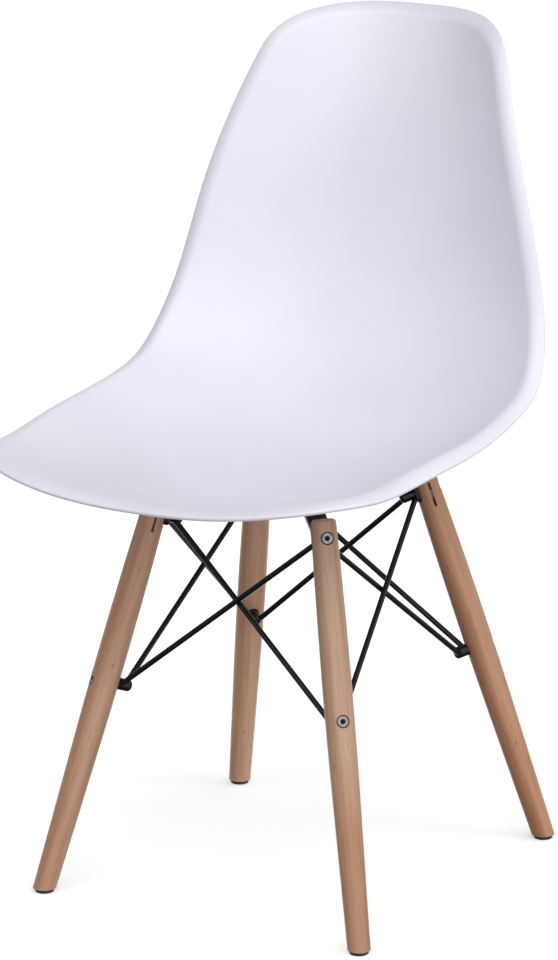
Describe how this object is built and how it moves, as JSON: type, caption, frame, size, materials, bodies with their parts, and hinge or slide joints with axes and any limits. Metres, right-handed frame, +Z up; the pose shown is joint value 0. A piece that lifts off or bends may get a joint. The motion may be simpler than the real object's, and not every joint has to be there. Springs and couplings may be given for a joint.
{
  "type": "moulded plastic shell chair",
  "caption": "Dining chair with a one-piece moulded plastic seat-and-back shell on tapered splayed wooden legs braced by crossed black steel rods.",
  "frame": {"origin": "on the floor, under the middle of the chair's overall box; the chair stands upright on its glides", "axes": "+Z up, -Y the way a sitter faces, +X the sitter's left; the chair is mirror-symmetric about the YZ plane except for the paired offsets of the crossing rods"},
  "size_m": [0.4502, 0.5583, 0.82],
  "materials": {
    "shell_plastic": "satin gloss, very slightly bluish white",
    "beech": "clear-lacquered beech",
    "black_steel": "semi-gloss black powder coat",
    "zinc_steel": "zinc-plated",
    "insert_brass": "plain turned",
    "pad_rubber": "matt black",
    "glide_plastic": "black nylon"
  },
  "bodies": {
    "root": {"seat_shell": "shell_plastic", "seat_inserts": "insert_brass", "seat_pads": "pad_rubber", "cross_strip_lower": "black_steel", "cross_strip_upper": "black_steel", "frame_screws": "zinc_steel", "frame_washers": "zinc_steel", "upper_leg_bolts": "zinc_steel", "lower_leg_bolts": "zinc_steel", "upper_sleeve_nuts": "black_steel", "lower_sleeve_nuts": "black_steel", "leg_back_left": "beech", "leg_back_right": "beech", "leg_front_right": "beech", "leg_front_left": "beech", "glide_back_left": "glide_plastic", "glide_back_right": "glide_plastic", "glide_front_right": "glide_plastic", "glide_front_left": "glide_plastic", "rod_back_left_to_back_right": "black_steel", "rod_back_right_to_back_left": "black_steel", "rod_back_right_to_front_right": "black_steel", "rod_front_right_to_back_right": "black_steel", "rod_front_right_to_front_left": "black_steel", "rod_front_left_to_front_right": "black_steel", "rod_front_left_to_back_left": "black_steel", "rod_back_left_to_front_left": "black_steel"}
  },
  "joints": []
}
